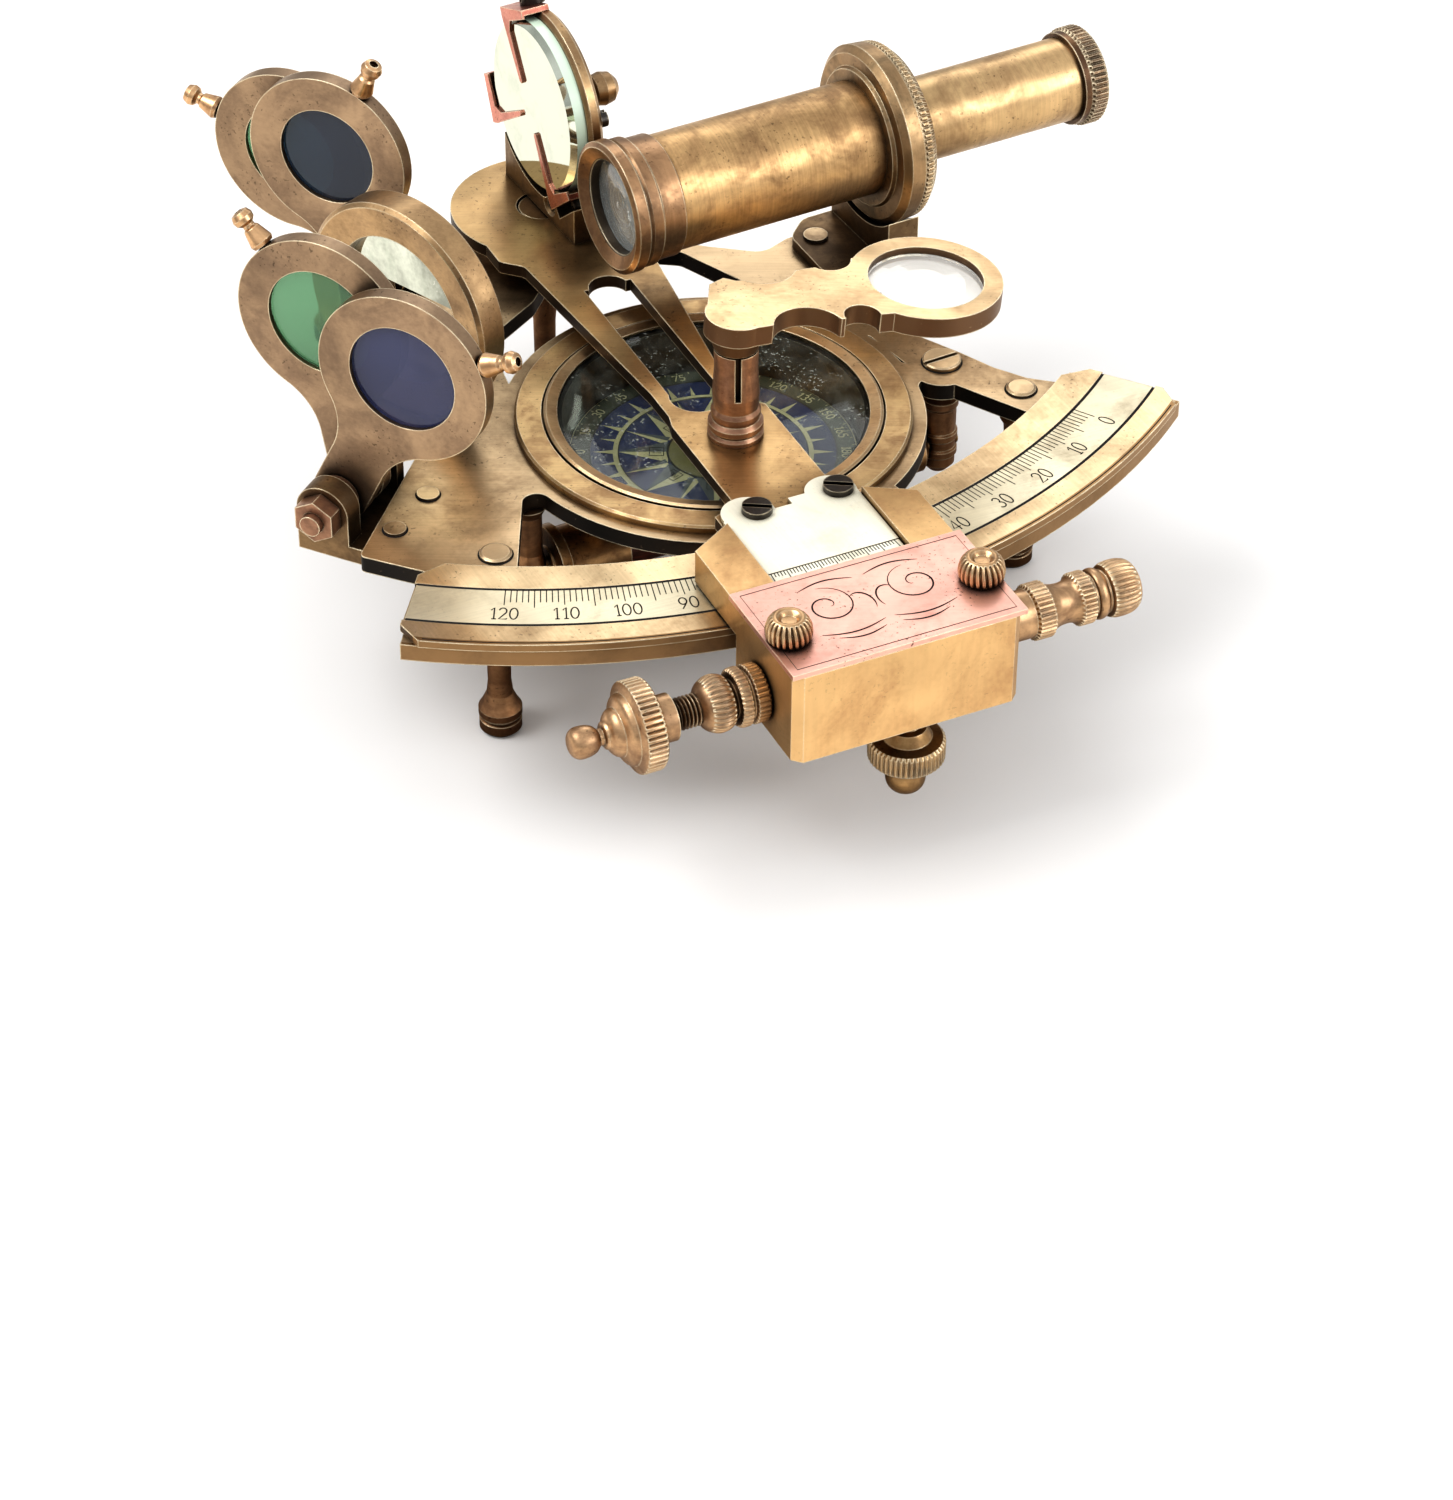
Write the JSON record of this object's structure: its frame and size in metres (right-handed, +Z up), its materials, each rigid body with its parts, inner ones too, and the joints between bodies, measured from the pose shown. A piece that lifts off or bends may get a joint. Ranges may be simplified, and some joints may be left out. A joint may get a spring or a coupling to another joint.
{
  "type": "sextant",
  "caption": "Brass sextant with a compass in its frame: swinging index arm with clamp and fine screw, mirrors, coloured shades, telescope with draw tube and a reading magnifier",
  "frame": {"origin": "on the axis that the index arm turns about, in the plane that the three feet stand on", "axes": "+Z up out of the arc, -Y from the pivot towards the middle of the arc, +X along the telescope towards its eyepiece"},
  "size_m": [0.1826, 0.183, 0.0935],
  "materials": {
    "brass": "aged brass, rubbed bright on the edges",
    "dark_brass": "brass darkened by age",
    "copper_brass": "reddish turned brass",
    "copper": "pink copper sheet, satin",
    "silvered": "silvered brass, cream with age",
    "steel": "dark blued steel",
    "clear_glass": "clear polished glass",
    "green_glass": "green tinted glass",
    "blue_glass": "dark blue-grey tinted glass",
    "mirror": "silvered mirror glass with a greenish edge",
    "wood": "dark polished hardwood"
  },
  "bodies": {
    "frame": {"frame_plate": "brass", "arc_layer": "brass", "scale_strip": "silvered", "frame_rivets": "copper_brass", "leg_left": "copper_brass", "leg_right": "copper_brass", "leg_rear": "copper_brass", "handle_column": "dark_brass", "handle_stud": "dark_brass", "handle_ends": "brass", "handle_grip": "wood", "compass_bowl": "brass", "compass_bezel": "brass", "compass_glass": "clear_glass", "horizon_foot": "dark_brass", "horizon_ring": "dark_brass", "horizon_glass": "mirror", "front_bracket": "dark_brass", "back_bracket": "dark_brass", "shade_bolts": "copper_brass", "shade_nuts": "copper_brass", "scope_bracket": "dark_brass", "scope_collar": "brass", "scope_tube": "brass", "objective_cell": "brass", "objective_lens": "clear_glass", "pivot_pin": "brass"},
    "card": {"compass_card": "silvered"},
    "front_blue": {"front_blue_plate": "dark_brass", "front_blue_glass": "blue_glass", "front_blue_knob": "brass"},
    "front_green": {"front_green_plate": "dark_brass", "front_green_glass": "green_glass", "front_green_knob": "brass"},
    "back_blue": {"back_blue_plate": "dark_brass", "back_blue_glass": "blue_glass", "back_blue_knob": "brass"},
    "back_green": {"back_green_plate": "dark_brass", "back_green_glass": "green_glass", "back_green_knob": "brass"},
    "draw": {"draw_tube": "brass", "eyepiece_cap": "dark_brass", "eyepiece_lens": "clear_glass"},
    "clamp": {"clamp_shoe": "dark_brass"},
    "clamp_screw": {"clamp_screw": "brass"},
    "arm": {"index_arm": "brass", "index_base": "brass", "index_ring": "brass", "index_mirror": "mirror", "index_clips": "copper", "index_screws": "steel", "vernier_plate": "silvered", "vernier_screws": "steel", "clamp_block": "brass", "block_cover": "copper", "cover_screws": "brass", "magnifier_post": "copper_brass"},
    "fine_screw": {"fine_screw": "copper_brass"},
    "magnifier": {"magnifier_bracket": "brass", "magnifier_lens": "clear_glass"}
  },
  "joints": [
    {"name": "arm_swing", "type": "hinge", "parent": "frame", "child": "clamp", "pos_m": [0, 0, 0.0425], "axis": [0, 0, 1], "range_deg": [-25.6, 32.4]},
    {"name": "fine_adjust", "type": "hinge", "parent": "clamp", "child": "arm", "pos_m": [0, 0, 0.0425], "axis": [0, 0, 1], "range_deg": [-0.81, 0.81]},
    {"name": "fine_screw_turn", "type": "hinge", "parent": "arm", "child": "fine_screw", "pos_m": [-0.00802, -0.14127, 0.0356], "axis": [0.9984, -0.0567, 0], "range_deg": [-900, 900]},
    {"name": "clamp_screw_turn", "type": "hinge", "parent": "clamp", "child": "clamp_screw", "pos_m": [-0.00444, -0.14699, 0.02], "axis": [0, 0, 1], "range_deg": [-540, 180]},
    {"name": "card_turn", "type": "hinge", "parent": "frame", "child": "card", "pos_m": [0, -0.0688, 0.0296], "axis": [0, 0, 1], "continuous": true},
    {"name": "front_blue_swing", "type": "hinge", "parent": "frame", "child": "front_blue", "pos_m": [-0.07001, -0.06089, 0.041], "axis": [0.8039, 0.5948, 0], "range_deg": [-95.5, 20]},
    {"name": "front_green_swing", "type": "hinge", "parent": "frame", "child": "front_green", "pos_m": [-0.06519, -0.05732, 0.041], "axis": [0.8039, 0.5948, 0], "range_deg": [-78, 40]},
    {"name": "back_blue_swing", "type": "hinge", "parent": "frame", "child": "back_blue", "pos_m": [-0.04118, -0.00907, 0.0444], "axis": [0.8039, 0.5948, 0], "range_deg": [-75, 52]},
    {"name": "back_green_swing", "type": "hinge", "parent": "frame", "child": "back_green", "pos_m": [-0.03636, -0.00551, 0.0444], "axis": [0.8039, 0.5948, 0], "range_deg": [-50, 76]},
    {"name": "draw_slide", "type": "slide", "parent": "frame", "child": "draw", "axis": [1, 0, 0], "range_m": [-0.025, 0.012]},
    {"name": "magnifier_swing", "type": "hinge", "parent": "arm", "child": "magnifier", "pos_m": [-0.00354, -0.08343, 0.06], "axis": [0, 0, -1], "range_deg": [-25, 100]}
  ],
  "couplings": [
    {"joint": "fine_screw_turn", "follows": "fine_adjust", "ratio": -1111}
  ]
}
